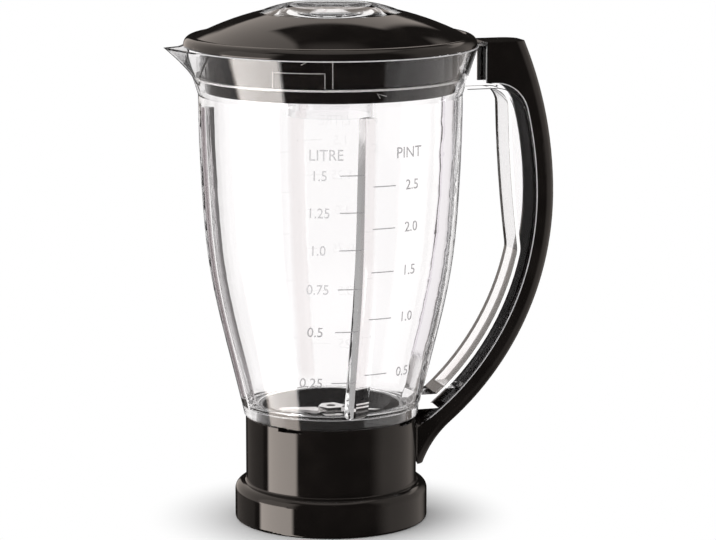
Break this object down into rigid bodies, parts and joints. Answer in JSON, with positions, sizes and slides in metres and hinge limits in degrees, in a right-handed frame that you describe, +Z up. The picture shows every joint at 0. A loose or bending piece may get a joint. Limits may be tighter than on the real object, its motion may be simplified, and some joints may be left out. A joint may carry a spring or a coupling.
{
  "type": "blender jar",
  "caption": "Clear flared blender goblet with pouring spout, inner ribs, graduations and a covered handle, on a black base collar with pressed blades, with a domed lid and a clear filler cap.",
  "frame": {"origin": "centre of the foot ring's underside, on the axis of the blades", "axes": "+Z up along the blade axis; the handle points along +X and the spout along -X"},
  "size_m": [0.2113, 0.154, 0.2735],
  "materials": {
    "clear_plastic": "clear, polished, with a faint violet grey tint",
    "black_plastic": "warm black, high gloss",
    "pale_silicone": "translucent pale silicone",
    "dark_rubber": "matte",
    "bearing_bronze": "sintered, dull",
    "steel": "bright stainless",
    "coupling_plastic": "satin moulded"
  },
  "bodies": {
    "base": {"base_collar": "black_plastic", "blade_carrier": "black_plastic", "jar_seal": "pale_silicone", "upper_bush": "bearing_bronze", "lower_bush": "bearing_bronze", "shaft_seal": "dark_rubber"},
    "jar": {"jar": "clear_plastic", "handle_cover": "black_plastic"},
    "lid": {"lid": "black_plastic", "lid_seal": "pale_silicone"},
    "filler_cap": {"filler_cap": "clear_plastic"},
    "blade_unit": {"drive_shaft": "steel", "upper_washer": "steel", "lower_blade": "steel", "blade_spacer": "steel", "upper_blade": "steel", "blade_nut": "steel", "lower_washer": "steel", "circlip": "steel", "drive_coupling": "coupling_plastic"}
  },
  "joints": [
    {"name": "jar_twist", "type": "hinge", "parent": "base", "child": "jar", "pos_m": [0, 0, 0.0566], "axis": [0, 0, 1], "range_deg": [0, 30]},
    {"name": "lid_lift", "type": "slide", "parent": "jar", "child": "lid", "axis": [0, 0, 1], "range_m": [0, 0.045]},
    {"name": "cap_lift", "type": "slide", "parent": "lid", "child": "filler_cap", "axis": [0, 0, 1], "range_m": [0, 0.055]},
    {"name": "blade_spin", "type": "hinge", "parent": "base", "child": "blade_unit", "pos_m": [0, 0, 0.0589], "axis": [0, 0, 1], "continuous": true}
  ]
}
